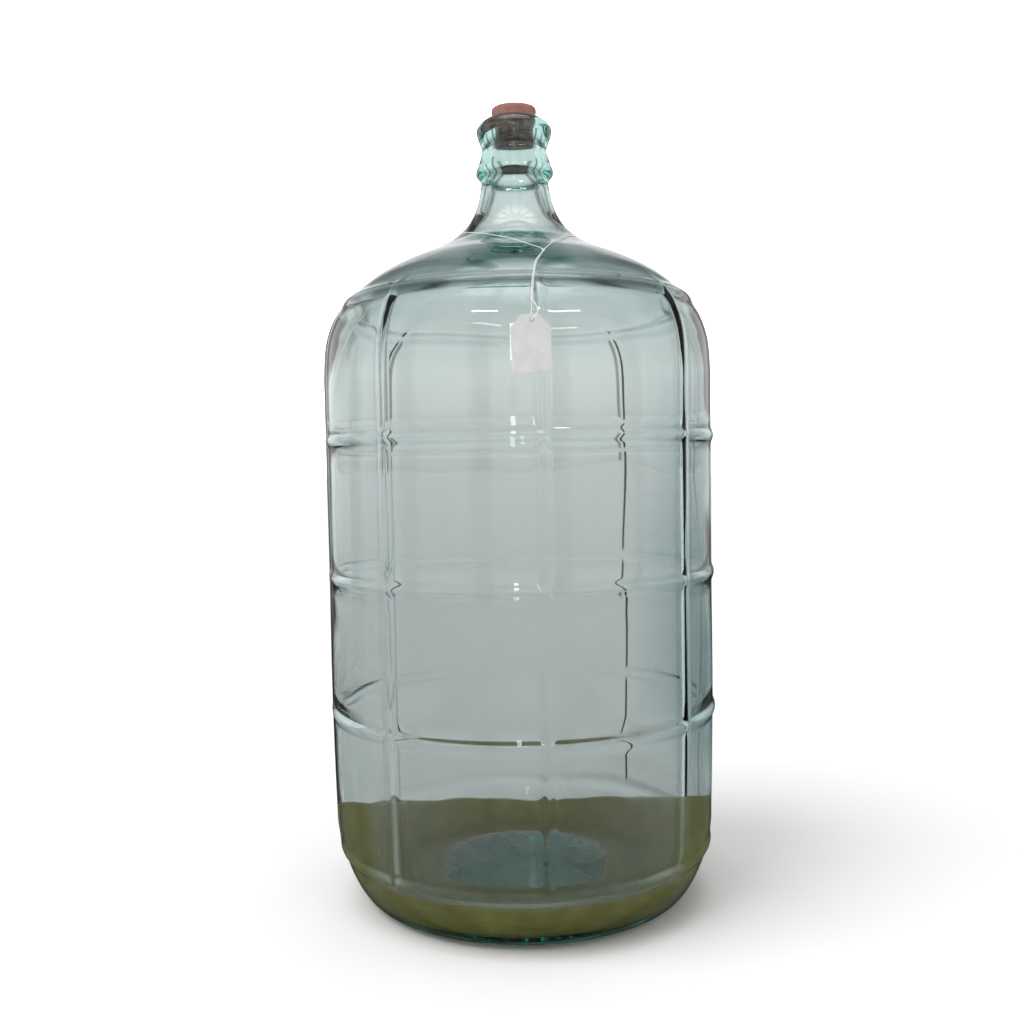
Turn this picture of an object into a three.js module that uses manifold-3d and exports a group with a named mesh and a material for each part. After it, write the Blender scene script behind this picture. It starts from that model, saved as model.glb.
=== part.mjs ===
// Glass carboy: a five gallon bottle of pale green moulded glass, with a rubber bung and a strung card tag.
// Millimetres, +Z up. The origin is the middle of the base, on the surface that the bottle stands on, and the
// front of the bottle, where the tag hangs, faces -Y.
import * as THREE from "three";
import { mergeVertices } from "three/addons/utils/BufferGeometryUtils.js";
import Module from "manifold-3d";

// Body
const BODY_RADIUS = 135; // at mid height; the mould gives it a slight barrel and a narrower foot
const BODY_WALL = 4;

// Raised ribs: five hoops, one pitch apart, crossed by eight uprights
const RIB_PROUD = 1.7;
const RIB_WIDTH = 9;
const HOOP_COUNT = 5;
const HOOP_FIRST = 39.6;
const HOOP_PITCH = 94.7;
const UPRIGHT_COUNT = 8;
const UPRIGHT_TURN = 5.7; // degrees from the front to the first upright, towards +X
const UPRIGHT_FOOT = 31;
const UPRIGHT_TOP = 427;
const BAY_COLUMNS = 6; // columns of facets from one upright to the next

// Neck finish
const LIP_TOP = 548.5;
const MOUTH_RADIUS = 15.6;

// Base: a shallow push-up inside a standing ring
const STAND_INNER = 88;
const STAND_OUTER = 101;
const PUSH_UP = 12;
const FLOOR_RADIUS = 60;

// Bung
const BUNG_TOP = 556.5;
const BUNG_LENGTH = 32;
const BUNG_TOP_RADIUS = 15.8;
const BUNG_FOOT_RADIUS = 13.7;
const BUNG_CHAMFER = 0.7;
const BUNG_STEPS = 32;

// Tag: a card with two clipped top corners, hung by its hole
const TAG_WIDTH = 23.8;
const TAG_HEIGHT = 35;
const TAG_THICKNESS = 0.4;
const TAG_CLIP = [6.5, 7.5]; // across and down
const TAG_HOLE = { x: 7.5, z: 391.2, radius: 1.6 };
const TAG_HOLE_DROP = 3.4; // from the top edge to the hole's centre
const TAG_HOLE_OFFSET = 1; // the hole is punched off the middle, so the card hangs tilted
const TAG_TILT = 2.5; // degrees, foot of the card towards +X
const TAG_BACK = -136.9; // clear of the upright behind it

// String: it goes round the neck from a knot behind to a knot in front, and both ends come down to the loop's knot,
// from which the loop and the card swing.
const STRING_DIAMETER = 0.7;
const STRING_SIDES = 8;
const KNOT_RADIUS = 1.1;
const LOOP_KNOT_RADIUS = 0.9;
const FRONT_KNOT = [16.4, -95.6, 439.5];
const BACK_KNOT = [0, 47, 464.8];
const LOOP_KNOT = [8, -130.7, 405];

// From the front knot round the right of the neck to the back knot.
const RIGHT_STRAND = [
  FRONT_KNOT,
  [20.5, -83.8, 444.8],
  [25.3, -70.2, 450.5],
  [30.6, -54, 455.7],
  [36.4, -36, 461.1],
  [42, -19.6, 464.2],
  [46, -2, 464.4],
  [44, 15, 464.3],
  [34.3, 31.1, 464.3],
  [18.2, 42.7, 464.4],
  BACK_KNOT,
];

// From the front knot round the left of the neck to the back knot.
const LEFT_STRAND = [
  FRONT_KNOT,
  [7, -84, 445.9],
  [-4, -70.7, 452.1],
  [-15, -56.8, 457.2],
  [-26.3, -42.2, 461.7],
  [-35.6, -29.6, 464.3],
  [-43.5, -15.6, 464.4],
  [-46.1, 2, 464.4],
  [-42.2, 19, 464.3],
  [-31.3, 34.1, 464.3],
  [-15.6, 43.7, 464.4],
  BACK_KNOT,
];

// From the front knot over the shoulder towards the loop's knot, side by side.
const FALL_RIGHT = [
  FRONT_KNOT,
  [13.6, -104.3, 433.8],
  [11.4, -112.9, 429],
  [9.7, -121.4, 419.7],
  [8.9, -125.8, 412.6],
  [8.4, -130, 406.1],
];
const FALL_LEFT = [
  FRONT_KNOT,
  [12.8, -104.3, 433.8],
  [10.6, -112.9, 429],
  [8.9, -121.4, 419.7],
  [8.1, -125.8, 412.6],
  [7.6, -130, 406.1],
];

// From the loop's knot down in front of the card, through its hole and up behind it.
const LOOP = [
  LOOP_KNOT,
  [8.9, -131.9, 403],
  [10.3, -133.9, 400.3],
  [11.1, -136.2, 397],
  [10.6, -138, 394.6],
  [8.9, -138.6, 392.8],
  [7.8, -138.3, 391.9],
  [7.5, -137.1, 391.4],
  [7.4, -135.9, 391.9],
  [7.4, -135.6, 393.5],
  [7.4, -135.3, 395.6],
  [7.5, -134.4, 398],
  [7.6, -133.3, 400.8],
  [7.7, -132, 403.1],
  LOOP_KNOT,
];

const glass = new THREE.MeshStandardMaterial({ color: "#c3d5d1", roughness: 0.05, metalness: 0 });
const rubber = new THREE.MeshStandardMaterial({ color: "#95655a", roughness: 0.7, metalness: 0 });
const card = new THREE.MeshStandardMaterial({ color: "#d3d4d1", roughness: 0.9, metalness: 0 });
const cotton = new THREE.MeshStandardMaterial({ color: "#e6e7e4", roughness: 0.95, metalness: 0 });

const manifold = await Module();
manifold.setup();

// The solid of a closed geometry.
function toSolid(geometry) {
  const bare = new THREE.BufferGeometry();
  bare.setAttribute("position", (geometry.index ? geometry.toNonIndexed() : geometry).getAttribute("position"));
  const merged = mergeVertices(bare, 1e-4);
  return new manifold.Manifold(
    new manifold.Mesh({
      numProp: 3,
      vertProperties: merged.getAttribute("position").array,
      triVerts: new Uint32Array(merged.index.array),
    }),
  );
}

// The geometry of a solid.
function toGeometry(solid) {
  const mesh = solid.getMesh();
  const geometry = new THREE.BufferGeometry();
  geometry.setAttribute("position", new THREE.BufferAttribute(mesh.vertProperties, 3));
  geometry.setIndex(new THREE.BufferAttribute(mesh.triVerts, 1));
  geometry.computeVertexNormals();
  return geometry;
}

// One solid from several geometries.
function join(geometries) {
  const solids = geometries.map(toSolid);
  return toGeometry(solids.reduce((whole, solid) => whole.add(solid)));
}

// A solid of revolution about Z from [radius, height] pairs in order round the section. Its first column faces -Y.
function turned(outline, columns) {
  const points = outline.map(([radius, height]) => new THREE.Vector2(radius, height));
  return new THREE.LatheGeometry(points, columns).rotateX(Math.PI / 2);
}

// A section swept along a curve, closed at both ends.
function swept(section, curve, steps) {
  return new THREE.ExtrudeGeometry(section, { steps, extrudePath: curve, bevelEnabled: false, curveSegments: 1 });
}

// An ellipse as a closed outline of straight sides.
function ellipse(halfWidth, halfHeight, sides) {
  const corners = [];
  for (let i = 0; i < sides; i++) {
    const turn = (2 * Math.PI * i) / sides;
    corners.push(new THREE.Vector2(halfWidth * Math.cos(turn), halfHeight * Math.sin(turn)));
  }
  return new THREE.Shape(corners);
}

// A smooth curve through [radius, height] pairs, as pairs again.
function smooth(pairs, steps) {
  const curve = new THREE.SplineCurve(pairs.map(([radius, height]) => new THREE.Vector2(radius, height)));
  return curve.getPoints(steps).map((point) => [point.x, point.y]);
}

// The bottle's skin without its ribs, from the standing ring up to the foot of the neck bead.
const SKIN = [
  ...smooth([[STAND_OUTER, 0], [111, 2.4], [119, 10.2], [125.6, 22.6], [130.5, 37], [133.2, 52], [133.6, 66]], 8),
  [BODY_RADIUS, 140],
  [BODY_RADIUS, 230],
  [BODY_RADIUS + 0.5, 350],
  ...smooth(
    [[BODY_RADIUS + 0.4, 373], [132.9, 394.5], [121.5, 417], [104.8, 433], [82, 446.3], [60, 455.6], [44.5, 464.2],
      [33.5, 475], [27, 488], [24.7, 498], [24.4, 505.5]],
    16,
  ),
];

// The skin's radius at a height.
function skinRadius(height) {
  const above = SKIN.findIndex(([, z]) => z >= height);
  if (above <= 0) return SKIN[Math.max(above, 0)][0];
  const [[r0, z0], [r1, z1]] = [SKIN[above - 1], SKIN[above]];
  return r0 + ((r1 - r0) * (height - z0)) / (z1 - z0);
}

// The skin with its hoops, half-round beads that stand proud of it.
function skinWithHoops() {
  const hoops = Array.from({ length: HOOP_COUNT }, (_, i) => HOOP_FIRST + i * HOOP_PITCH);
  const clear = SKIN.filter(([, z]) => hoops.every((hoop) => Math.abs(z - hoop) > RIB_WIDTH / 2 + 0.5));
  const beads = hoops.flatMap((hoop) =>
    [-1, -0.5, 0.5, 1].map((share) => {
      const height = hoop + (share * RIB_WIDTH) / 2;
      return [skinRadius(height) + RIB_PROUD * Math.sqrt(1 - share * share), height];
    }),
  );
  return [...clear, ...beads].sort((a, b) => a[1] - b[1]);
}

// The angle of a column of facets, in radians from the front: an upright's crest and its two feet, then even steps.
function columnAngle(column) {
  const bay = 360 / UPRIGHT_COUNT;
  const foot = THREE.MathUtils.radToDeg(RIB_WIDTH / 2 / BODY_RADIUS);
  const step = (bay - 2 * foot) / (BAY_COLUMNS - 2);
  const place = column % BAY_COLUMNS;
  const inBay = place === 0 ? 0 : foot + (place - 1) * step;
  return THREE.MathUtils.degToRad(UPRIGHT_TURN + Math.floor(column / BAY_COLUMNS) * bay + inBay);
}

// Moves a lathe's columns to their angles, and raises the uprights' crests on its outer rows.
function raiseUprights(lathe, section, outerRows) {
  const position = lathe.getAttribute("position");
  for (let column = 0; column <= UPRIGHT_COUNT * BAY_COLUMNS; column++) {
    const angle = columnAngle(column);
    section.forEach(([radius, height], row) => {
      const onUpright = column % BAY_COLUMNS === 0 && height > UPRIGHT_FOOT && height < UPRIGHT_TOP;
      const reach = onUpright && row < outerRows ? skinRadius(height) + RIB_PROUD : radius;
      const index = column * section.length + row;
      position.setXYZ(index, reach * Math.sin(angle), -reach * Math.cos(angle), height);
    });
  }
  lathe.computeVertexNormals();
  return lathe;
}

function makeBottle() {
  const finish = [[25.4, 507], [27.2, 509.4], [27.3, 512.2], [25.9, 516], [24.1, 521.5], [22.9, 526.5],
    [24.4, 532], [26.3, 537.4], [26.6, 540.8], [24.9, 544], [21.5, 547], [18.2, LIP_TOP], [16.4, LIP_TOP - 0.3]];
  const bore = [[MOUTH_RADIUS, LIP_TOP - 1.4], [MOUTH_RADIUS - 0.4, 541], [MOUTH_RADIUS - 0.9, 528],
    [MOUTH_RADIUS - 0.6, 514], [17.4, 501], [20.6, 488.5], [28, 474]];
  const inside = smooth(
    [[28, 474], [38.6, 463.2], [55.5, 452.8], [77, 443], [98, 431], [115, 415.5], [127, 394.5],
      [BODY_RADIUS + 0.4 - BODY_WALL, 370]],
    8,
  ).slice(1);
  const wall = [[BODY_RADIUS + 0.5 - BODY_WALL, 350], [BODY_RADIUS - BODY_WALL, 230],
    [BODY_RADIUS - BODY_WALL, 140], [129.2, 62]];
  const floor = smooth([[129.2, 62], [127.2, 40], [121.5, 23.5], [110, 12.8], [94, 11.6], [76, 16.2],
    [FLOOR_RADIUS, 19.2]], 7).slice(1);
  const under = [[0, 20.2], [0, PUSH_UP], [FLOOR_RADIUS, PUSH_UP - 1], [76, 6.8], [STAND_INNER, 0]];
  const skin = skinWithHoops();
  const section = [...skin, ...finish, ...bore, ...inside, ...wall, ...floor, ...under, skin[0]];
  return raiseUprights(turned(section, UPRIGHT_COUNT * BAY_COLUMNS), section, skin.length);
}

function makeBung() {
  const foot = BUNG_TOP - BUNG_LENGTH;
  const outline = [
    [0, foot],
    [BUNG_FOOT_RADIUS - BUNG_CHAMFER, foot],
    [BUNG_FOOT_RADIUS, foot + BUNG_CHAMFER],
    [BUNG_TOP_RADIUS, BUNG_TOP - BUNG_CHAMFER],
    [BUNG_TOP_RADIUS - BUNG_CHAMFER, BUNG_TOP],
    [0, BUNG_TOP],
  ];
  return turned(outline, BUNG_STEPS);
}

// The card is drawn round its hole, which is the point it hangs from.
function makeTag() {
  const left = -TAG_WIDTH / 2 - TAG_HOLE_OFFSET;
  const right = left + TAG_WIDTH;
  const top = TAG_HOLE_DROP;
  const [across, down] = TAG_CLIP;
  const outline = new THREE.Shape([
    new THREE.Vector2(left, top - TAG_HEIGHT),
    new THREE.Vector2(right, top - TAG_HEIGHT),
    new THREE.Vector2(right, top - down),
    new THREE.Vector2(right - across, top),
    new THREE.Vector2(left + across, top),
    new THREE.Vector2(left, top - down),
  ]);
  outline.holes.push(new THREE.Path().absarc(0, 0, TAG_HOLE.radius, 0, 2 * Math.PI, true));
  const sheet = new THREE.ExtrudeGeometry(outline, { depth: TAG_THICKNESS, bevelEnabled: false, curveSegments: 16 });
  return sheet.rotateZ(THREE.MathUtils.degToRad(TAG_TILT)).rotateX(Math.PI / 2);
}

function strand(points, steps) {
  const curve = new THREE.CatmullRomCurve3(points.map((point) => new THREE.Vector3(...point)));
  return swept(ellipse(STRING_DIAMETER / 2, STRING_DIAMETER / 2, STRING_SIDES), curve, steps);
}

function knot(place, radius) {
  return new THREE.SphereGeometry(radius, 10, 6).translate(...place);
}

function makeNeckString() {
  return join([knot(FRONT_KNOT, KNOT_RADIUS), knot(BACK_KNOT, KNOT_RADIUS), strand(RIGHT_STRAND, 20),
    strand(LEFT_STRAND, 20), strand(FALL_RIGHT, 7), strand(FALL_LEFT, 7)]);
}

function makeTagLoop() {
  return join([knot(LOOP_KNOT, LOOP_KNOT_RADIUS), strand(LOOP, 28)]);
}

function piece(name, geometry, material) {
  const mesh = new THREE.Mesh(geometry, material);
  mesh.name = name;
  return mesh;
}

const carboy = new THREE.Group();
carboy.add(piece("bottle", makeBottle(), glass));
carboy.add(piece("bung", makeBung(), rubber));
const tag = piece("tag", makeTag(), card);
tag.position.set(TAG_HOLE.x, TAG_BACK, TAG_HOLE.z);
carboy.add(tag);
carboy.add(piece("neck_string", makeNeckString(), cotton));
carboy.add(piece("tag_loop", makeTagLoop(), cotton));

export default carboy;
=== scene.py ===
# %% [markdown]
# # A glass carboy
# A carboy is a large bottle of moulded glass in which wine or beer ferments. This one has five raised hoops
# and eight raised uprights, a rubber bung in its mouth and a card tag on a string round its neck. The sizes
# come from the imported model, the frame, which holds the bottle, bung, tag and string as plain solids. This
# script builds the finely finished pieces round it, one step to a cell.

# %% Load the frame
import math

import bmesh
import bpy
from mathutils import Matrix, Vector, noise


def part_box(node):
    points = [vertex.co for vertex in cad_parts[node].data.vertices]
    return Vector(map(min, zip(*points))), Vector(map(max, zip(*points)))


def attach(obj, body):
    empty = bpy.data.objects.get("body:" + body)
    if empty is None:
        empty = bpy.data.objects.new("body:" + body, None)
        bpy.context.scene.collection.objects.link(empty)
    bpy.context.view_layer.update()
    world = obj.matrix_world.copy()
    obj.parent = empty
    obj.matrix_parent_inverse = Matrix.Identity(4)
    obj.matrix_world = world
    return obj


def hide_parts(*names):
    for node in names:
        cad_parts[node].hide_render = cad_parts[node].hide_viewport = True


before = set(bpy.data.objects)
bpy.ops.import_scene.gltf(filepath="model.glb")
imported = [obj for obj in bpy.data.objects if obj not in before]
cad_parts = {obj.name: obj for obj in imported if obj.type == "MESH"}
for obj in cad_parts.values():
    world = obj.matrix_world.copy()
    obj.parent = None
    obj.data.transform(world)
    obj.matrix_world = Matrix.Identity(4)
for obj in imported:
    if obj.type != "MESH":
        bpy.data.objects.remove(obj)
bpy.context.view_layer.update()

# %% [markdown]
# ## The camera
# The view is that of someone who stands close to the bottle and looks slightly down at it, so the base
# shows through the glass. A camera is turned by Euler angles: the first tips it from looking straight down
# up to the horizon, and the second rolls it a little, as a hand-held camera is.

# %% The camera
MM = 0.001
EYE = Vector((-6 * MM, -796 * MM, 309 * MM))
LOOK_DOWN = math.radians(2.72)
ROLL = math.radians(-0.98)
FOCAL_LENGTH, SENSOR_WIDTH = 38.95, 36  # in millimetres, which set the angle of view together
FARTHEST = 20  # metres

camera = bpy.data.objects.new("camera", bpy.data.cameras.new("camera"))
camera.data.lens = FOCAL_LENGTH
camera.data.sensor_width = SENSOR_WIDTH
camera.data.clip_end = FARTHEST
camera.matrix_world = (
    Matrix.Translation(EYE)
    @ Matrix.Rotation(math.pi / 2 - LOOK_DOWN, 4, "X")
    @ Matrix.Rotation(ROLL, 4, "Z")
)
bpy.context.collection.objects.link(camera)
bpy.context.scene.camera = camera
print("the eye is", round(EYE.length, 3), "metres from the foot of the bottle")

# %% [markdown]
# ## Helpers for shapes
# Every new piece starts as a bmesh, Blender's editable mesh. These helpers turn a bmesh into an object,
# draw a smooth line through a few points and spin a section into a body of revolution, which is how a lathe
# or a blowing mould forms a round thing.

# %% Helpers for shapes
def finish_piece(name, bm, body, slot, *nodes):
    """The bmesh as a smooth-shaded object that rides on a body and stands for these nodes."""
    mesh = bpy.data.meshes.new(name)
    bm.to_mesh(mesh)
    bm.free()
    mesh.shade_smooth()
    piece = bpy.data.objects.new(name, mesh)
    bpy.context.collection.objects.link(piece)
    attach(piece, body)
    if nodes:
        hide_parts(*nodes)
    print(name, "has", sum(len(face.vertices) - 2 for face in mesh.polygons), "triangles")
    return piece


def smooth_line(points, per_span):
    """A smooth line through the points, with per_span steps from each point to the next."""
    points = [Vector(point) for point in points]
    ends = [2 * points[0] - points[1], *points, 2 * points[-1] - points[-2]]
    line = []
    for before, start, end, after in zip(ends, ends[1:], ends[2:], ends[3:]):
        last, span, following = (start - before).length, (end - start).length, (after - end).length
        leave = (start - before) * (span / last) + (end - start) * (last / span)
        arrive = (end - start) * (following / span) + (after - end) * (span / following)
        leave, arrive = leave / (last + span) * span, arrive / (span + following) * span
        for step in range(per_span):
            t = step / per_span
            line.append(
                (1 + 2 * t) * (1 - t) ** 2 * start + t * (1 - t) ** 2 * leave
                + t * t * (3 - 2 * t) * end + t * t * (t - 1) * arrive
            )
    return line + [points[-1]]


def spin_section(bm, section, steps):
    """Spins (radius, height) points about Z, closed all the way round, with the first column facing -Y."""
    verts = [bm.verts.new((0, -point[0], point[1])) for point in section]
    edges = [bm.edges.new(pair) for pair in zip(verts, verts[1:])]
    bmesh.ops.spin(
        bm, geom=verts + edges, cent=(0, 0, 0), axis=(0, 0, 1), angle=2 * math.pi, steps=steps, use_merge=True
    )
    bmesh.ops.remove_doubles(bm, verts=bm.verts, dist=1e-6)
    bmesh.ops.recalc_face_normals(bm, faces=bm.faces)


def bump(distance, half_width):
    """1 at no distance, falling smoothly to 0 at half_width."""
    share = min(abs(distance) / half_width, 1)
    return (1 - share * share) ** 2


# %% [markdown]
# ## The string
# The tag hangs on about half a metre of cotton string. It goes round the neck from a knot behind to a knot
# in front, and both ends come down over the shoulder to the knot of a small loop, from which the card
# swings. The loop moves with the card, so it is a piece of its own. A curve with a bevel would give a plain
# round cord. Real string is two plies twisted round each other, and that shows close up, so each ply is a
# thin tube whose middle line winds round the route.

# %% The string's route
STRING_DIAMETER = 0.7 * MM
FRONT_KNOT = (16.4, -95.6, 439.5)
BACK_KNOT = (0, 47, 464.8)
LOOP_KNOT = (8, -130.7, 405)
RIGHT_STRAND = [
    FRONT_KNOT, (20.5, -83.8, 444.8), (25.3, -70.2, 450.5), (30.6, -54, 455.7), (36.4, -36, 461.1),
    (42, -19.6, 464.2), (46, -2, 464.4), (44, 15, 464.3), (34.3, 31.1, 464.3), (18.2, 42.7, 464.4), BACK_KNOT,
]
LEFT_STRAND = [
    FRONT_KNOT, (7, -84, 445.9), (-4, -70.7, 452.1), (-15, -56.8, 457.2), (-26.3, -42.2, 461.7),
    (-35.6, -29.6, 464.3), (-43.5, -15.6, 464.4), (-46.1, 2, 464.4), (-42.2, 19, 464.3), (-31.3, 34.1, 464.3),
    (-15.6, 43.7, 464.4), BACK_KNOT,
]
FALL_RIGHT = [
    FRONT_KNOT, (13.6, -104.3, 433.8), (11.4, -112.9, 429), (9.7, -121.4, 419.7), (8.9, -125.8, 412.6),
    (8.4, -130, 406.1),
]
FALL_LEFT = [
    FRONT_KNOT, (12.8, -104.3, 433.8), (10.6, -112.9, 429), (8.9, -121.4, 419.7), (8.1, -125.8, 412.6),
    (7.6, -130, 406.1),
]
LOOP = [
    LOOP_KNOT, (8.9, -131.9, 403), (10.3, -133.9, 400.3), (11.1, -136.2, 397), (10.6, -138, 394.6),
    (8.9, -138.6, 392.8), (7.8, -138.3, 391.9), (7.5, -137.1, 391.4), (7.4, -135.9, 391.9),
    (7.4, -135.6, 393.5), (7.4, -135.3, 395.6), (7.5, -134.4, 398), (7.6, -133.3, 400.8), (7.7, -132, 403.1),
    LOOP_KNOT,
]


def route_of(*strands):
    """The strands end to end as one smooth path in metres, and its length."""
    points = [point for strand in strands for point in strand[:-1]] + [strands[-1][-1]]
    path = smooth_line([Vector(point) * MM for point in points], 12)
    return path, sum((end - start).length for start, end in zip(path, path[1:]))


neck_path, neck_length = route_of(FALL_RIGHT[::-1], RIGHT_STRAND, LEFT_STRAND[::-1], FALL_LEFT)
loop_path, loop_length = route_of(LOOP)
print("the string is", round(neck_length + loop_length, 3), "metres long")

# %% [markdown]
# ### Twisting the plies
# A ring of vertices is carried along the route, and each ring is joined to the one before. The ring's frame
# is carried without spinning, which is called parallel transport, so the twist comes only from the ply's
# own turn.

# %% Twist the string
PLY_RADIUS = 0.52 * STRING_DIAMETER / 2
PLY_OFFSET = STRING_DIAMETER / 2 - PLY_RADIUS
TWIST_PITCH = 2.2 * MM
PLY_SIDES = 6
RING_STEP = 0.4 * MM


def even_points(path, step):
    """The path again, with points an even step apart."""
    points, travelled = [path[0]], 0.0
    for start, end in zip(path, path[1:]):
        span = (end - start).length
        while travelled + span >= step:
            start = start + (end - start) * ((step - travelled) / span)
            span = (end - start).length
            travelled = 0.0
            points.append(start)
        travelled += span
    return points


def sweep_plies(bm, path):
    """Sweeps two plies along a path, winding round each other once in each pitch."""
    neighbours = zip([path[0], *path], [*path[1:], path[-1]])
    tangents = [(after - before).normalized() for before, after in neighbours]
    side = tangents[0].orthogonal().normalized()
    turns = [2 * math.pi * corner / PLY_SIDES for corner in range(PLY_SIDES)]
    rings = [[], []]
    travelled = 0.0
    for index, (centre, tangent) in enumerate(zip(path, tangents)):
        side = (side - tangent * side.dot(tangent)).normalized()
        other = tangent.cross(side)
        travelled += (centre - path[max(index - 1, 0)]).length
        for ply in (0, 1):
            wind = 2 * math.pi * travelled / TWIST_PITCH + math.pi * ply
            middle = centre + PLY_OFFSET * (math.cos(wind) * side + math.sin(wind) * other)
            rings[ply].append([
                bm.verts.new(middle + PLY_RADIUS * (math.cos(turn) * side + math.sin(turn) * other))
                for turn in turns
            ])
    for ply in (0, 1):
        for low, high in zip(rings[ply], rings[ply][1:]):
            for corner in range(PLY_SIDES):
                after = (corner + 1) % PLY_SIDES
                bm.faces.new((low[corner], low[after], high[after], high[corner]))
        bm.faces.new(reversed(rings[ply][0]))
        bm.faces.new(rings[ply][-1])
    bmesh.ops.recalc_face_normals(bm, faces=bm.faces)


def twist(name, path, body, node):
    """A length of string along a path, on a body, in place of a plain node."""
    bm = bmesh.new()
    sweep_plies(bm, even_points(path, RING_STEP))
    return finish_piece(name, bm, body, "cotton", node)


string = twist("string", neck_path, "bottle", "neck_string")
hanging_loop = twist("hanging_loop", loop_path, "tag", "tag_loop")

# %% [markdown]
# ### The knots
# A knot in thin string is a small tight lump. A trefoil, the simplest closed knot, swept with the same two
# plies has the same crossings as a real overhand knot, so one is set at each place where the string is
# tied.

# %% The knots
KNOT_SIZE = 0.3 * MM
KNOT_STEPS = 60


def tie_knot(name, place, turn, body):
    """A small trefoil of string at a place."""
    loop = []
    for step in range(KNOT_STEPS + 1):
        t = 2 * math.pi * step / KNOT_STEPS
        loop.append(KNOT_SIZE * Vector((
            math.sin(t) + 2 * math.sin(2 * t), math.cos(t) - 2 * math.cos(2 * t), -1.2 * math.sin(3 * t)
        )))
    bm = bmesh.new()
    sweep_plies(bm, loop)
    bmesh.ops.rotate(bm, verts=bm.verts, cent=(0, 0, 0), matrix=Matrix.Rotation(turn, 3, "X"))
    bmesh.ops.translate(bm, verts=bm.verts, vec=Vector(place) * MM)
    return finish_piece(name, bm, body, "cotton")


front_knot = tie_knot("front_knot", FRONT_KNOT, math.radians(35), "bottle")
back_knot = tie_knot("back_knot", BACK_KNOT, math.radians(-50), "bottle")
loop_knot = tie_knot("loop_knot", LOOP_KNOT, math.radians(70), "tag")

# %% [markdown]
# ## The tag
# The tag is a strung price ticket: stout card with its two top corners clipped and one punched hole. It
# starts as an outline and a circle that a triangle fill joins into one face with a hole. Rows of cuts let
# it curl a little, as card does once it has hung in damp air, and a small bevel softens its cut edges.

# %% The card
TAG_WIDTH = 23.8 * MM
TAG_HEIGHT = 35 * MM
TAG_THICKNESS = 0.4 * MM
TAG_CLIP = (6.5 * MM, 7.5 * MM)
TAG_HOLE = Vector((7.5 * MM, -137.3 * MM, 391.2 * MM))
TAG_HOLE_RADIUS = 1.6 * MM
TAG_HOLE_DROP = 3.4 * MM
TAG_LEFT = -TAG_WIDTH / 2 - 1 * MM
TAG_TILT = math.radians(2.5)
TAG_CURL = 0.5 * MM
TAG_ROWS = 14
TAG_BEVEL = 0.08 * MM

bm = bmesh.new()
right, foot = TAG_LEFT + TAG_WIDTH, TAG_HOLE_DROP - TAG_HEIGHT
clip_across, clip_down = TAG_CLIP
corners = [
    (TAG_LEFT, foot), (right, foot), (right, TAG_HOLE_DROP - clip_down),
    (right - clip_across, TAG_HOLE_DROP), (TAG_LEFT + clip_across, TAG_HOLE_DROP),
    (TAG_LEFT, TAG_HOLE_DROP - clip_down),
]
rim = [bm.verts.new((x, 0, z)) for x, z in corners]
edges = [bm.edges.new(pair) for pair in zip(rim, rim[1:] + rim[:1])]
hole = bmesh.ops.create_circle(
    bm, segments=32, radius=TAG_HOLE_RADIUS, matrix=Matrix.Rotation(math.pi / 2, 4, "X")
)
edges += list({edge for vert in hole["verts"] for edge in vert.link_edges})
bmesh.ops.triangle_fill(bm, use_beauty=True, edges=edges, normal=(0, -1, 0))
for row in range(1, TAG_ROWS):
    height = foot + TAG_HEIGHT * row / TAG_ROWS
    everything = bm.verts[:] + bm.edges[:] + bm.faces[:]
    bmesh.ops.bisect_plane(bm, geom=everything, plane_co=(0, 0, height), plane_no=(0, 0, 1))
walls = bmesh.ops.extrude_face_region(bm, geom=bm.faces[:])
lifted = [item for item in walls["geom"] if isinstance(item, bmesh.types.BMVert)]
bmesh.ops.translate(bm, verts=lifted, vec=(0, TAG_THICKNESS, 0))
bmesh.ops.recalc_face_normals(bm, faces=bm.faces)
cut_edges = [edge for edge in bm.edges if edge.calc_face_angle(0) > math.radians(60)]
bmesh.ops.bevel(
    bm, geom=cut_edges, offset=TAG_BEVEL, offset_type="OFFSET", affect="EDGES", segments=2, profile=0.5,
    material=-1,
)
for vert in bm.verts:
    drop = (TAG_HOLE_DROP - vert.co.z) / TAG_HEIGHT
    lean = (vert.co.x - TAG_LEFT) / TAG_WIDTH
    vert.co.y -= TAG_CURL * (drop ** 2 + 0.6 * drop * (lean - 0.5) ** 2)
bmesh.ops.rotate(bm, verts=bm.verts, cent=(0, 0, 0), matrix=Matrix.Rotation(-TAG_TILT, 3, "Y"))
bmesh.ops.translate(bm, verts=bm.verts, vec=TAG_HOLE)
card = finish_piece("card_tag", bm, "tag", "card", "tag")
card.data.set_sharp_from_angle(angle=math.radians(40))

# %% [markdown]
# ### What the string is
# The lengths of the two parts of the string are printed. Both parts start and end at the loop's knot.

print("declared", round(neck_length, 3), "and", round(loop_length, 3), "metres of string")

# %% [markdown]
# ## The bottle
# The bottle was blown into a mould, which left a smooth inside and raised ribs outside. It could be a
# profile with a Screw modifier, but the ribs cross, so a spun mesh whose points can be lifted afterwards
# suits it better. The section is drawn in two lines, outside and inside, from a few points that a smooth
# line joins.

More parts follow.
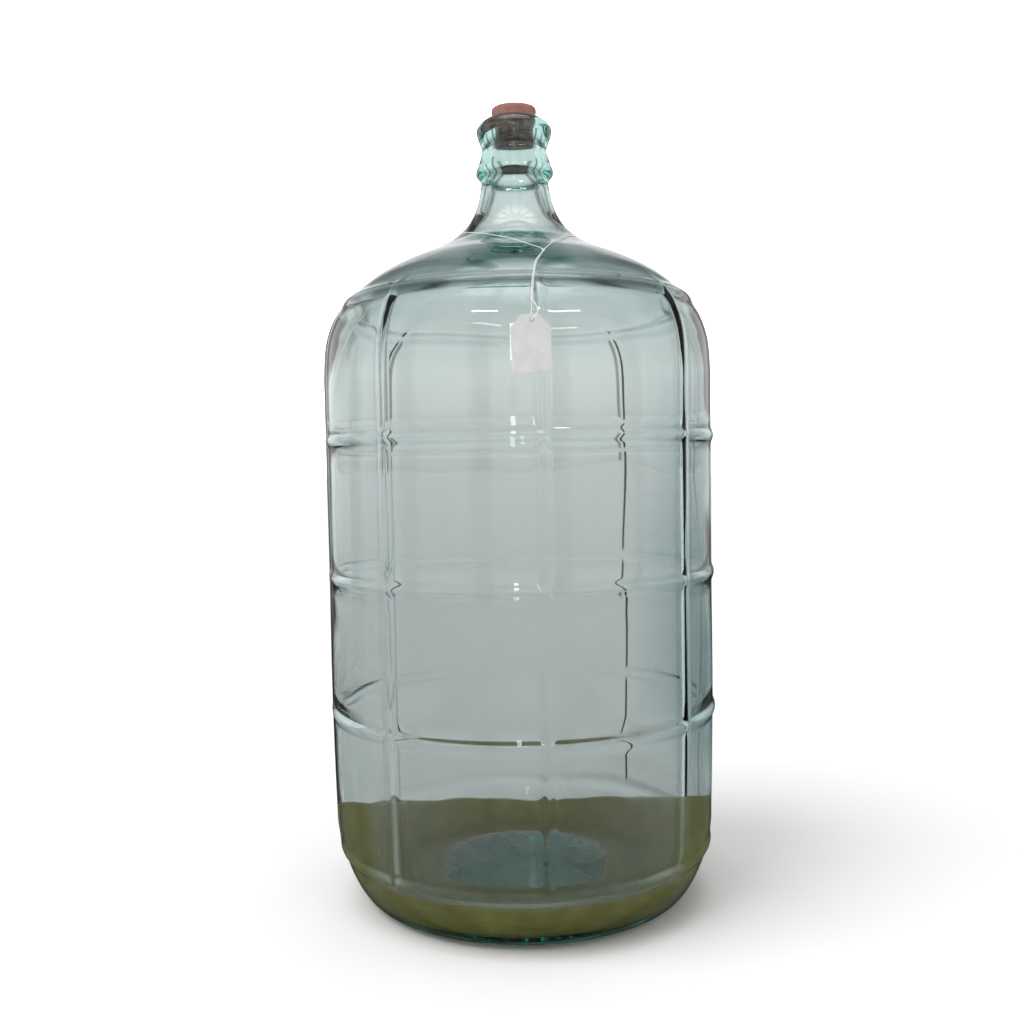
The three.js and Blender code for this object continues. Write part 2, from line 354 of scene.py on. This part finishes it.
# %% The bottle's section
HOOP_HEIGHTS = [39.6 + 94.7 * hoop for hoop in range(5)]
OUTSIDE = [
    (0, 12), (25, 11.9), (45, 11.6), (60, 11), (68, 9.6), (76, 6.8), (83, 2.6), (88, 0.3), (91, 0), (98, 0),
    (101, 0.2), (106, 0.9), (111, 2.4), (115.5, 5.7), (119, 10.2), (125.6, 22.6), (130.5, 37), (133.2, 52),
    (133.6, 66), (134.4, 100), (135, 140), (135, 230), (135.5, 350), (135.4, 373), (132.9, 394.5),
    (128.3, 407), (121.5, 417), (104.8, 433), (82, 446.3), (60, 455.6), (44.5, 464.2), (33.5, 475), (27, 488),
    (24.7, 498), (24.4, 505.5), (25.4, 507), (27.2, 509.4), (27.3, 512.2), (25.9, 516), (24.1, 521.5),
    (22.9, 526.5), (24.4, 532), (26.3, 537.4), (26.6, 540.8), (24.9, 544), (21.5, 547), (18.2, 548.5),
    (16.4, 548.2),
]
INSIDE = [
    (16.4, 548.2), (15.6, 547.1), (15.2, 541), (14.7, 528), (15, 514), (17.4, 501), (20.6, 488.5), (28, 474),
    (38.6, 463.2), (55.5, 452.8), (77, 443), (98, 431), (115, 415.5), (127, 394.5), (131.4, 370),
    (131.5, 350), (131, 230), (131, 140), (130.2, 100), (129.2, 62), (127.2, 40), (121.5, 23.5),
    (110, 12.8), (94, 11.6),
    (76, 16.2), (60, 19.2), (30, 20), (0, 20.2),
]


def rows_between(points, step_at):
    """The smooth line through (radius, height) points, with rows step_at(radius, height) apart."""
    line = smooth_line([(radius, 0, height) for radius, height in points], 90)
    rows, travelled = [line[0]], 0.0
    for before, point in zip(line, line[1:]):
        travelled += (point - before).length
        if travelled >= step_at(point.x, point.z):
            rows.append(point)
            travelled = 0.0
    rows[-1] = line[-1]
    return [(point.x, max(point.z, 0)) for point in rows]


def outside_step(radius, height):
    """Fine rows on the hoops and the neck finish, wide ones on the plain wall."""
    if any(abs(height - hoop) < 6.5 for hoop in HOOP_HEIGHTS):
        return 1.1
    if height < 12.5 and radius < 100:
        return 1.5 if 44 < radius < 72 else 4
    if height > 500:
        return 1.3
    return 3 if height < 62 or height > 380 else 9


def inside_step(radius, height):
    """Rows close enough for the slow waves of the blown inner surface."""
    return 4 if height > 474 or height < 62 else 8


outside_rows = rows_between(OUTSIDE, outside_step)
inside_rows = rows_between(INSIDE, inside_step)
print(len(outside_rows), "rows outside and", len(inside_rows), "inside")

# %% [markdown]
# ### Spinning the blank
# The section is spun once round. Each point of it first gets a mark that says whether it is on the inner
# surface, and spinning copies the mark along with the point, so the glass can tell its two surfaces apart
# later. The columns are then drawn together near each upright, where the shape needs them, and spread out
# between.

# %% Spin the blank
UPRIGHT_COUNT = 8
BAY = 2 * math.pi / UPRIGHT_COUNT
UPRIGHT_TURN = math.radians(5.7)
COLUMNS_IN_BAY = 30
GATHER = 0.2  # how much closer the columns lie at an upright than they would if even

bottle_bm = bmesh.new()
inner_mark = bottle_bm.verts.layers.float.new("inner")
section_verts = []
for rows, mark in ((outside_rows, 0), (inside_rows[1:], 1)):
    for radius, height in rows:
        vert = bottle_bm.verts.new((0, -radius * MM, height * MM))
        vert[inner_mark] = mark
        section_verts.append(vert)
section_edges = [bottle_bm.edges.new(pair) for pair in zip(section_verts, section_verts[1:])]
bmesh.ops.spin(
    bottle_bm, geom=section_verts + section_edges, cent=(0, 0, 0), axis=(0, 0, 1), angle=2 * math.pi,
    steps=UPRIGHT_COUNT * COLUMNS_IN_BAY, use_merge=True,
)
bmesh.ops.remove_doubles(bottle_bm, verts=bottle_bm.verts, dist=1e-6)
bmesh.ops.recalc_face_normals(bottle_bm, faces=bottle_bm.faces)
for vert in bottle_bm.verts:
    radius = math.hypot(vert.co.x, vert.co.y)
    phase = math.atan2(vert.co.x, -vert.co.y) / BAY
    place = phase - round(phase)
    gathered = place * (GATHER + (1 - GATHER) * abs(2 * place) ** 1.2)
    angle = UPRIGHT_TURN + BAY * (round(phase) + gathered)
    vert.co.x, vert.co.y = radius * math.sin(angle), -radius * math.cos(angle)
print("the blank has", len(bottle_bm.verts), "points, and",
      sum(vert[inner_mark] > 0.5 for vert in bottle_bm.verts), "of them are inside")

# %% [markdown]
# ### Raising the ribs
# Five hoops and eight uprights stand proud of the outside. Each point moves out along its own normal by the
# height of the rib over it. Where two ribs cross, the larger height wins, with a soft join. The base has a
# ring of short crescents, which the mould cuts so that hot glass doesn't skid, and both surfaces are
# slightly wavy.

# %% Raise the ribs
RIB_PROUD = 1.7 * MM
HOOP_REACH = 6.5 * MM  # half the width over which a hoop blends into the wall
UPRIGHT_REACH = 5 * MM
UPRIGHT_FOOT, UPRIGHT_TOP, UPRIGHT_FADE = 31 * MM, 427 * MM, 8 * MM
CRESCENTS = 40
CRESCENT_RING = 58 * MM
CRESCENT_DEPTH = 2.2 * MM
BASE_TOP, BASE_RADIUS = 12.5 * MM, 76 * MM  # the underside is what lies below and within these
FLOOR_TOP = 22 * MM  # the inner surface is the bottle's floor below this
INNER_WAVE, FLOOR_WAVE, WALL_WAVE, BASE_WAVE = 0.5 * MM, 0.9 * MM, 0.1 * MM, 0.5 * MM


def upright_share(co):
    """How high an upright stands at a point, from 0 to 1."""
    phase = (math.atan2(co.x, -co.y) - UPRIGHT_TURN) / BAY
    across = (phase - round(phase)) * BAY * math.hypot(co.x, co.y)
    ends = min(co.z - UPRIGHT_FOOT, UPRIGHT_TOP - co.z) / UPRIGHT_FADE
    return bump(across, UPRIGHT_REACH) * max(0, min(ends, 1))


def crescent_share(co):
    """How far the ring of crescents on the underside stands down at a point, from 0 to 1."""
    radius, angle = math.hypot(co.x, co.y), math.atan2(co.y, co.x)
    bowed = angle * CRESCENTS / (2 * math.pi) + 0.9 * ((radius - CRESCENT_RING) / (8 * MM)) ** 2
    return bump(bowed - round(bowed), 0.36) * bump(radius - CRESCENT_RING, 9 * MM)


def wave(co, length, seed):
    """A slow random wave over a surface, from about -1 to 1."""
    return noise.noise(co / length + Vector((seed, seed, seed)))


bottle_bm.normal_update()
moves = []
for vert in bottle_bm.verts:
    co = vert.co
    if vert[inner_mark] > 0.5:
        on_floor = co.z < FLOOR_TOP
        height_of_wave, length = (FLOOR_WAVE, 26 * MM) if on_floor else (INNER_WAVE, 48 * MM)
        moves.append(height_of_wave * wave(co, length, 3.7))
        continue
    hoop = max(bump(co.z - height * MM, HOOP_REACH) for height in HOOP_HEIGHTS)
    rise = (hoop ** 3 + upright_share(co) ** 3) ** (1 / 3) * RIB_PROUD
    if co.z < BASE_TOP and math.hypot(co.x, co.y) < BASE_RADIUS:
        rise = CRESCENT_DEPTH * crescent_share(co) + BASE_WAVE * wave(co, 9 * MM, 8.1)
    else:
        rise += WALL_WAVE * wave(co, 60 * MM, 5.3) * min(co.z / (20 * MM), 1)
    moves.append(rise)
for vert, move in zip(bottle_bm.verts, moves):
    vert.co += vert.normal * move
bottle = finish_piece("glass_bottle", bottle_bm, "bottle", "glass", "bottle")

# %% [markdown]
# ## The bung
# The bung is a solid taper of rubber. It is a spun section too, with rounded edges, a slight dish in the top
# from moulding and a faint unevenness above the lip and round the foot.

# %% The bung
bung_low, bung_high = (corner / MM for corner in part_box("bung"))
BUNG_TOP, BUNG_FOOT = bung_high.z, bung_low.z
BUNG_TOP_RADIUS, BUNG_FOOT_RADIUS = bung_high.x, 13.7
LIP_TOP = 548.5
BUNG_EDGE = 0.9

slope = (BUNG_TOP_RADIUS - BUNG_FOOT_RADIUS) / (BUNG_TOP - BUNG_FOOT)
bung_outline = [
    (0, BUNG_FOOT), (BUNG_FOOT_RADIUS - 3, BUNG_FOOT), (BUNG_FOOT_RADIUS - BUNG_EDGE, BUNG_FOOT + 0.1),
    (BUNG_FOOT_RADIUS - 0.2, BUNG_FOOT + 0.5), (BUNG_FOOT_RADIUS + 0.06, BUNG_FOOT + BUNG_EDGE + 0.3),
]
for height in (530, 536, 542, LIP_TOP - 1, LIP_TOP + 2):
    bung_outline.append((BUNG_FOOT_RADIUS + slope * (height - BUNG_FOOT), height))
bung_outline += [
    (BUNG_TOP_RADIUS, BUNG_TOP - BUNG_EDGE - 0.3), (BUNG_TOP_RADIUS - 0.25, BUNG_TOP - 0.4),
    (BUNG_TOP_RADIUS - BUNG_EDGE, BUNG_TOP), (BUNG_TOP_RADIUS - 3, BUNG_TOP - 0.15), (0, BUNG_TOP - 0.5),
]
bung_rows = rows_between(bung_outline, lambda radius, height: 0.5 if radius > 11 else 2)
bung_bm = bmesh.new()
spin_section(bung_bm, [(radius * MM, height * MM) for radius, height in bung_rows], 96)
bung_bm.normal_update()
for vert in bung_bm.verts:
    if vert.co.z > LIP_TOP * MM or vert.co.z < (BUNG_FOOT + 1) * MM:
        vert.co += vert.normal * 0.12 * MM * (wave(vert.co, 5 * MM, 1.9) - 0.5)
rubber_bung = finish_piece("rubber_bung", bung_bm, "bung", "rubber", "bung")

# %% [markdown]
# ## Helpers for materials
# A material is a small network of nodes. One function turns the hex colours that people write into the
# linear light that the renderer works in, one starts a material, and one adds any node with its settings
# and links. Patterns read Object coordinates, which are metres here, so a pattern's scale is one over its
# real size.

# %% Helpers for materials
def linear(hex_colour):
    """An sRGB hex colour as linear red, green, blue and alpha."""
    channels = [int(hex_colour[i:i + 2], 16) / 255 for i in (1, 3, 5)]
    return (*(c / 12.92 if c <= 0.04045 else ((c + 0.055) / 1.055) ** 2.4 for c in channels), 1.0)


def new_material(name, **values):
    """A material with one Principled shader, with these values on its sockets."""
    material = bpy.data.materials.new(name)
    material.use_nodes = True
    shader = material.node_tree.nodes["Principled BSDF"]
    for socket, value in values.items():
        shader.inputs[socket.replace("_", " ")].default_value = value
    return material.node_tree, shader, material


def add_node(tree, kind, inputs=None, stops=(), **settings):
    """A node with its settings, its inputs set to values or linked to sockets, and a ramp's stops."""
    node = tree.nodes.new("ShaderNode" + kind)
    for setting, value in settings.items():
        setattr(node, setting, value)
    for socket, value in (inputs or {}).items():
        if isinstance(value, bpy.types.NodeSocket):
            tree.links.new(value, node.inputs[socket])
        else:
            node.inputs[socket].default_value = value
    while len(stops) > len(node.color_ramp.elements if stops else ()):
        node.color_ramp.elements.new(0.5)
    for element, (place, colour) in zip(node.color_ramp.elements if stops else (), stops):
        element.position = place
        element.color = linear(colour) if isinstance(colour, str) else (colour, colour, colour, 1)
    return node


def dress(material, *pieces):
    """Puts the material on the pieces, as their only one."""
    for piece in pieces:
        piece.data.materials.clear()
        piece.data.materials.append(material)


# %% [markdown]
# ## Soda-lime bottle glass
# Bottle glass is clear soda-lime glass with a little iron in it, which drinks red light, so a thin wall
# looks nearly clear and a thick one sea green. A Volume Absorption node does exactly that: its colour is
# what gets through and its density says how fast the rest is lost. The surface is smooth and clear, with an
# index of refraction of 1.52. This cell also works out the heights and distances that the next two cells
# draw with.

# %% Soda-lime bottle glass
ABSORPTION = 18  # how fast light is lost, in each metre
PASSED = (0, 0.76, 0.64, 1)
DISC_RIPPLE = 12 * MM  # how far the edge of the disc in the base wanders

tree, shader, bottle_glass = new_material(
    "soda_lime_bottle_glass", Roughness=0.0, IOR=1.52, Transmission_Weight=1.0
)
absorb = add_node(tree, "VolumeAbsorption", {"Color": PASSED, "Density": ABSORPTION})
tree.links.new(absorb.outputs[0], tree.nodes["Material Output"].inputs["Volume"])
dress(bottle_glass, bottle)

place = add_node(tree, "TexCoord").outputs["Object"]
axes = add_node(tree, "SeparateXYZ", {"Vector": place})
height = add_node(tree, "Math", {0: axes.outputs["Z"], 1: 1 / (LIP_TOP * MM)}, operation="MULTIPLY")
height = height.outputs[0]
ripple = add_node(tree, "TexNoise", {"Vector": place, "Scale": 1 / (25 * MM), "Detail": 3}).outputs["Fac"]
flat = add_node(tree, "VectorMath", {0: place, 1: (1, 1, 0)}, operation="MULTIPLY")
radius = add_node(tree, "VectorMath", {0: flat.outputs[0]}, operation="LENGTH").outputs["Value"]
radius = add_node(tree, "Math", {0: ripple, 1: DISC_RIPPLE, 2: radius}, operation="MULTIPLY_ADD").outputs[0]
kept = [round(math.exp(-ABSORPTION * 8 * MM * (1 - share)), 2) for share in PASSED[:3]]
print("8 mm of the glass keeps", kept, "of the red, green and blue light")

# %% [markdown]
# ### The painted film of the table seen through the glass
# The lower part of the bottle shows a brown-green film. It is painted: it stands for the brown of a tabletop
# seen through the glass, and it is not a stain on the bottle. It covers the floor and the low wall up to a
# tilted top edge, which is the table's edge as the glass bends it. The middle of the floor is left bare, and
# towards the front the film fades away above the heel, so the base shows. It could be a thin shell of its
# own, but a film has no thickness to speak of. So it is a mask on the inner surface that makes it dull and
# nearly opaque. Each Map Range turns a distance into a share from 0 to 1, and the shares are multiplied
# together.

# %% The painted film of the table seen through the glass
TABLE_EDGE_AT_AXIS = 62 * MM  # the height over the axis of the film's top edge, the painted table edge
TABLE_EDGE_SLOPE = 0.31  # how far it falls for each metre towards the back
TABLE_FILM_FRONT = -72 * MM  # the film on the wall fades in from the front to here
TABLE_FILM_FADE = 56 * MM
TABLE_FILM_HEEL = 30 * MM  # below this the film goes all the way round
HEEL_FADE = 12 * MM
DISC_INNER, DISC_OUTER = 63 * MM, 69 * MM  # the bare disc of the floor, which the painted film leaves, ends between these radii
EDGE_RIPPLE = 5 * MM
FILM_LETS_THROUGH, FILM_ROUGHNESS = 0.12, 0.4

table_edge = add_node(tree, "Math", {
    0: axes.outputs["Y"], 1: TABLE_EDGE_SLOPE, 2: axes.outputs["Z"],
}, operation="MULTIPLY_ADD")
table_edge = add_node(tree, "Math", {0: ripple, 1: EDGE_RIPPLE, 2: table_edge.outputs[0]}, operation="MULTIPLY_ADD")
below = add_node(tree, "MapRange", {
    "Value": table_edge.outputs[0], "From Min": TABLE_EDGE_AT_AXIS + 3.4 * MM, "From Max": TABLE_EDGE_AT_AXIS + 2 * MM,
})
outside_disc = add_node(tree, "MapRange", {"Value": radius, "From Min": DISC_INNER, "From Max": DISC_OUTER})
behind_front = add_node(tree, "MapRange", {
    "Value": axes.outputs["Y"], "From Min": TABLE_FILM_FRONT - TABLE_FILM_FADE, "From Max": TABLE_FILM_FRONT,
})
on_heel = add_node(tree, "MapRange", {
    "Value": axes.outputs["Z"], "From Min": TABLE_FILM_HEEL + HEEL_FADE, "From Max": TABLE_FILM_HEEL,
})
away = add_node(tree, "Math", {0: behind_front.outputs[0], 1: on_heel.outputs[0]}, operation="MAXIMUM")
inner = add_node(tree, "Attribute", attribute_name="inner").outputs["Fac"]
film = below.outputs[0]
for factor in (outside_disc.outputs[0], away.outputs[0], inner):
    film = add_node(tree, "Math", {0: film, 1: factor}, operation="MULTIPLY").outputs[0]
clear = add_node(tree, "MapRange", {"Value": film, "To Min": 1.0, "To Max": FILM_LETS_THROUGH}).outputs[0]
tree.links.new(clear, shader.inputs["Transmission Weight"])
dull = add_node(tree, "MapRange", {"Value": film, "To Min": 0.0, "To Max": FILM_ROUGHNESS}).outputs[0]
tree.links.new(dull, shader.inputs["Roughness"])
blotches = add_node(tree, "TexNoise", {"Vector": place, "Scale": 1 / (14 * MM), "Detail": 5}).outputs["Fac"]
# painted: the brown of a tabletop seen through the glass, in blotches
painted_table = add_node(tree, "ValToRGB", {"Fac": blotches}, [
    (0.3, "#9c9142"), (0.55, "#aa9f4b"), (0.75, "#b7ad5c"),
])
# the heights of the painted table edge at the front and at the back
edge_heights = [round((TABLE_EDGE_AT_AXIS - TABLE_EDGE_SLOPE * y) / MM) for y in (-0.13, 0.13)]
print("the tide line would be", edge_heights[0], "mm up at the front, and is", edge_heights[1], "mm up at the back")

# %% [markdown]
# ### Where the glass is darker, with painted shade
# The wall is modelled with one even thickness, but blown glass isn't even, and its thick places look darker.
# The Principled base colour dims light at each surface it crosses, so it stands in for them. A ramp over the
# height paints shade: it makes the low wall a little darker than the neck, for the dimmer floor that the
# lower wall shows. The middle of the base gets a deep green, the colour of its thick glass. A short list of
# places gets a tint each, which fades in along one axis and over a span of heights. Three of these are
# painted shade, dark marks that the bent glass shows of its surroundings, and the fourth makes the right side
# of the body darker. Heights are shares of the height of the lip.

# %% Where the glass is darker, with painted shade
# painted shade: the low wall darker than the neck, for the dimmer floor seen through it
WALL_PAINTED_SHADE = [
    (0.0, 0.65), (0.34, 0.65), (0.54, 0.71), (0.68, 0.75), (0.83, 0.77), (0.87, 0.84), (1.0, 0.86),
]
BASE_GREEN = (0.01, 0.52, 0.32, 1)
DARKENED_PLACES = [  # the axis, from where to where the tint fades in along it in mm, the ramp, the tint
    # painted shade: a dark band across the front of the shoulder, for the dim surround that it shows
    ("Y", -30, -60, [(0.76, 0), (0.775, 1), (0.805, 1), (0.82, 0)], (0.34, 0.39, 0.4, 1)),
    # painted shade: a thin dark line on the front of the top hoop, where the hoop bends the dark into view
    ("Y", -30, -60, [(0.7565, 0), (0.7585, 1), (0.7625, 1), (0.7645, 0)], (0.1, 0.13, 0.14, 1)),
    # partly the deeper green of the thick glass at the back of the neck's foot, partly painted shade for the
    # dark that this glass reflects inside itself
    ("Y", 16, 34, [(0.832, 0), (0.838, 1), (0.85, 1), (0.856, 0)], (0.05, 0.26, 0.22, 1)),
    # the right side of the body
    ("X", 92, 128, [(0.1, 0), (0.22, 1), (0.46, 1), (0.62, 0.5), (0.75, 0.2)], (0.34, 0.42, 0.42, 1)),
]

wall = add_node(tree, "ValToRGB", {"Fac": height}, WALL_PAINTED_SHADE).outputs[0]
near_axis = add_node(tree, "MapRange", {"Value": radius, "From Min": DISC_OUTER, "From Max": DISC_INNER})
low = add_node(tree, "MapRange", {"Value": height, "From Min": 0.06, "From Max": 0.045})
boss = add_node(tree, "Math", {0: near_axis.outputs[0], 1: low.outputs[0]}, operation="MULTIPLY")
wall = add_node(tree, "Mix", {"Factor": boss.outputs[0], "A": wall, "B": BASE_GREEN}, data_type="RGBA")
wall = wall.outputs["Result"]
# each place's tint: three of them painted shade, and one a darker right side
for axis, start, end, stops, shade in DARKENED_PLACES:
    side = add_node(tree, "MapRange", {
        "Value": axes.outputs[axis], "From Min": start * MM, "From Max": end * MM,
    })
    level = add_node(tree, "ValToRGB", {"Fac": height}, stops)
    darkening = add_node(tree, "Math", {0: side.outputs[0], 1: level.outputs[0]}, operation="MULTIPLY")
    wall = add_node(tree, "Mix", {"Factor": darkening.outputs[0], "A": wall, "B": shade}, data_type="RGBA")
    wall = wall.outputs["Result"]
# the painted film of the tabletop is mixed over all the other tints
tint = add_node(tree, "Mix", {"Factor": film, "A": wall, "B": painted_table.outputs[0]}, data_type="RGBA")
tree.links.new(tint.outputs["Result"], shader.inputs["Base Color"])
print("the glass is tinted in", len(DARKENED_PLACES), "places and has", len(tree.nodes), "nodes")

# %% [markdown]
# ## Moulded red rubber
# Old bungs are natural rubber with a red-brown filler. Rubber is matt, with a bloom that lightens it in
# patches, and the end that stands in the bottle is darker. Long flat streaks run round it where it was turned
# in the neck, drawn a little coarser than real ones so that they show.

# %% Moulded red rubber
tree, shader, rubber = new_material("moulded_red_rubber", IOR=1.52)
place = add_node(tree, "TexCoord").outputs["Object"]
axes = add_node(tree, "SeparateXYZ", {"Vector": place})
flat = add_node(tree, "Mapping", {"Vector": place, "Scale": (1, 1, 5)}).outputs[0]
streaks = add_node(
    tree, "TexNoise", {"Vector": flat, "Scale": 1 / (9 * MM), "Detail": 6, "Roughness": 0.6}
).outputs["Fac"]
bloom = add_node(tree, "TexNoise", {"Vector": place, "Scale": 1 / (6 * MM), "Detail": 4}).outputs["Fac"]
paler_top = add_node(tree, "ValToRGB", {"Fac": bloom}, [(0.3, "#8f5f52"), (0.5, "#a06b66"), (0.7, "#8f6f5c")])
# below the lip the rubber is darker and browner
darker_end = add_node(tree, "ValToRGB", {"Fac": streaks}, [
    (0.35, "#3a2422"), (0.5, "#5e3d37"), (0.6, "#8a6a5a"), (0.72, "#46292b"),
])
above_lip = add_node(tree, "MapRange", {
    "Value": axes.outputs["Z"], "From Min": (LIP_TOP - 3) * MM, "From Max": (LIP_TOP - 1) * MM,
})
colour = add_node(tree, "Mix", {
    "Factor": above_lip.outputs[0], "A": darker_end.outputs[0], "B": paler_top.outputs[0],
}, data_type="RGBA")
tree.links.new(colour.outputs["Result"], shader.inputs["Base Color"])
grain = add_node(tree, "TexNoise", {"Vector": place, "Scale": 1 / (0.7 * MM), "Detail": 3}).outputs["Fac"]
skin = add_node(tree, "Bump", {"Height": grain, "Strength": 0.35, "Distance": 0.15 * MM})
tree.links.new(skin.outputs[0], shader.inputs["Normal"])
polish = add_node(tree, "ValToRGB", {"Fac": streaks}, [(0.3, 0.42), (0.7, 0.75)])
tree.links.new(polish.outputs[0], shader.inputs["Roughness"])
dress(rubber, rubber_bung)
print("the rubber turns from stained to dry", LIP_TOP - 2, "mm up")

# %% [markdown]
# ## Uncoated card
# Ticket card is pressed wood pulp. It has no coating, so it is matt, with faint cloudy patches where the
# fibres lie thicker and a fine tooth. Real fibres are some hundredths of a millimetre wide, too fine to
# show, so the tooth is drawn at a third of a millimetre.

# %% Uncoated card
tree, shader, pulp = new_material("uncoated_card", IOR=1.5)
place = add_node(tree, "TexCoord").outputs["Object"]
cloud = add_node(tree, "TexNoise", {"Vector": place, "Scale": 1 / (7 * MM), "Detail": 5}).outputs["Fac"]
shade = add_node(tree, "ValToRGB", {"Fac": cloud}, [(0.3, "#bfc0bd"), (0.7, "#c9cac8")])
tree.links.new(shade.outputs[0], shader.inputs["Base Color"])
tooth = add_node(tree, "TexNoise", {"Vector": place, "Scale": 1 / (0.33 * MM), "Detail": 4}).outputs["Fac"]
felt = add_node(tree, "Bump", {"Height": tooth, "Strength": 0.3, "Distance": 0.05 * MM})
tree.links.new(felt.outputs[0], shader.inputs["Normal"])
dull = add_node(tree, "ValToRGB", {"Fac": tooth}, [(0.3, 0.82), (0.7, 0.95)])
tree.links.new(dull.outputs[0], shader.inputs["Roughness"])
dress(pulp, card)
print("the card's material has", len(tree.nodes), "nodes")

# %% [markdown]
# ## Bleached cotton
# String is spun cotton: dull, white and a little fuzzy. Sheen gives the pale edge that short fibres
# scatter, and a fine noise breaks up each ply.

# %% Bleached cotton
tree, shader, cotton = new_material("bleached_cotton", Sheen_Weight=0.4, Sheen_Roughness=0.5)
place = add_node(tree, "TexCoord").outputs["Object"]
fibre = add_node(tree, "TexNoise", {"Vector": place, "Scale": 1 / (0.3 * MM), "Detail": 3}).outputs["Fac"]
shade = add_node(tree, "ValToRGB", {"Fac": fibre}, [(0.3, "#d5d8d6"), (0.7, "#f2f3f1")])
tree.links.new(shade.outputs[0], shader.inputs["Base Color"])
fuzz = add_node(tree, "Bump", {"Height": fibre, "Strength": 0.4, "Distance": 0.05 * MM})
tree.links.new(fuzz.outputs[0], shader.inputs["Normal"])
dull = add_node(tree, "ValToRGB", {"Fac": fibre}, [(0.3, 0.8), (0.7, 0.95)])
tree.links.new(dull.outputs[0], shader.inputs["Roughness"])
dress(cotton, string, hanging_loop, front_knot, back_knot, loop_knot)
print("the string and its three knots share the cotton")

# %% [markdown]
# ## The floor and the light
# Clear glass shows only what it bends and reflects, so it is lit as in a studio. Pale panels stand all
# round, with a darker bar between each two, and the bars draw the thin dark lines along the edges of the
# glass. The panels dim towards the top and the ground, with one bright panel straight overhead. The camera
# itself sees plain white. The floor reaches nearly to the horizon and isn't mirrored in the glass, because
# a white mirror image would veil the dark colours of the base.

# %% The floor
FLOOR_REACH = 40  # metres from the middle to each side

floor_bm = bmesh.new()
bmesh.ops.create_grid(floor_bm, x_segments=1, y_segments=1, size=FLOOR_REACH)
floor_mesh = bpy.data.meshes.new("floor")
floor_bm.to_mesh(floor_mesh)
floor_bm.free()
floor = bpy.data.objects.new("floor", floor_mesh)
bpy.context.collection.objects.link(floor)
floor.visible_glossy = False
tree, shader, paper = new_material("white_background_paper", Base_Color=linear("#f1f1f1"), Roughness=0.9)
dress(paper, floor)
print("the floor is", 2 * FLOOR_REACH, "metres wide")

# %% [markdown]
# ### The surround
# The world's own shader draws the panels. The direction's angle round Z, times the number of bars, gives a
# wave that a ramp squares off into bars, and the direction's height picks the brightness from a second
# ramp. The Light Path node gives the camera's own rays plain white instead.

# %% The surround
BARS = 8
BAR_SHADES = [(0.06, 0.34), (0.28, 1.0)]
HEIGHT_SHADES = [  # from straight down at 0 over the horizon at 0.5 to straight up at 1
    (0.42, 0.04), (0.5, 0.34), (0.53, 0.38), (0.565, 0.4), (0.6, 0.36), (0.66, 0.33), (0.74, 0.28),
    (0.78, 0.16), (0.94, 0.13), (0.975, 1.0),
]
SURROUND_STRENGTH = 3.0
WHITE = (1, 1, 1, 1)

world = bpy.data.worlds.new("studio")
bpy.context.scene.world = world
world.use_nodes = True
tree = world.node_tree
tree.nodes.clear()
way = add_node(tree, "SeparateXYZ", {"Vector": add_node(tree, "TexCoord").outputs["Generated"]})
turn = add_node(tree, "Math", {0: way.outputs["Y"], 1: way.outputs["X"]}, operation="ARCTAN2")
turn = add_node(tree, "Math", {0: turn.outputs[0], 1: BARS}, operation="MULTIPLY")
bars = add_node(tree, "Math", {0: turn.outputs[0]}, operation="COSINE").outputs[0]
bars = add_node(tree, "MapRange", {"Value": bars, "From Min": -1, "From Max": 1}).outputs[0]
bars = add_node(tree, "ValToRGB", {"Fac": bars}, BAR_SHADES).outputs[0]
high = add_node(tree, "MapRange", {"Value": way.outputs["Z"], "From Min": -1, "From Max": 1}).outputs[0]
high = add_node(tree, "ValToRGB", {"Fac": high}, HEIGHT_SHADES).outputs[0]
panels = add_node(tree, "Mix", {"Factor": 1, "A": bars, "B": high}, data_type="RGBA", blend_type="MULTIPLY")
seen = add_node(tree, "LightPath").outputs["Is Camera Ray"]
light = add_node(tree, "Mix", {"Factor": seen, "A": panels.outputs["Result"], "B": WHITE}, data_type="RGBA")
backdrop = add_node(tree, "Background", {"Color": light.outputs["Result"], "Strength": SURROUND_STRENGTH})
add_node(tree, "OutputWorld", {"Surface": backdrop.outputs[0]})
print("the surround has", BARS, "bars and", len(tree.nodes), "nodes")

# %% [markdown]
# ### The lamps
# A wide, soft sun gives the shadow on the floor. It is hidden from mirrored and bent rays, in which so wide
# a disc would show as a large white blot. Two long thin lamps and one tall strip give the glints.

# %% The lamps
SUN_STRENGTH = 1.62
SUN_WIDTH = math.radians(40)
FLAT_LAMPS = [  # name, watts, place and target in mm, width and length in metres
    ("tube_right", 1.6, (700, -1300, 1500), (0, 0, 300), 0.6, 0.03),
    ("tube_left", 1.2, (-500, -1300, 1500), (0, 0, 300), 0.4, 0.03),
    ("tall_strip", 3, (-160, -2600, 1150), (0, 0, 500), 0.12, 0.9),
]


def add_light(name, kind, energy, place, target, **settings):
    """A lamp at a place in mm that points at a target in mm."""
    lamp = bpy.data.objects.new(name, bpy.data.lights.new(name, kind))
    lamp.data.energy = energy
    for setting, value in settings.items():
        setattr(lamp.data, setting, value)
    aim = Vector(target) - Vector(place)
    turned = aim.to_track_quat("-Z", "Y").to_matrix().to_4x4()
    lamp.matrix_world = Matrix.Translation(Vector(place) * MM) @ turned
    bpy.context.collection.objects.link(lamp)
    return lamp


sun = add_light("soft_sun", "SUN", SUN_STRENGTH, (-900, -500, 1500), (0, 0, 0), angle=SUN_WIDTH)
sun.visible_glossy = False
sun.visible_transmission = False
for name, watts, place, target, width, length in FLAT_LAMPS:
    add_light(name, "AREA", watts, place, target, shape="RECTANGLE", size=width, size_y=length)
bpy.context.scene.view_settings.view_transform = "Standard"
print("lit by", len(bpy.data.lights), "lamps and the surround")
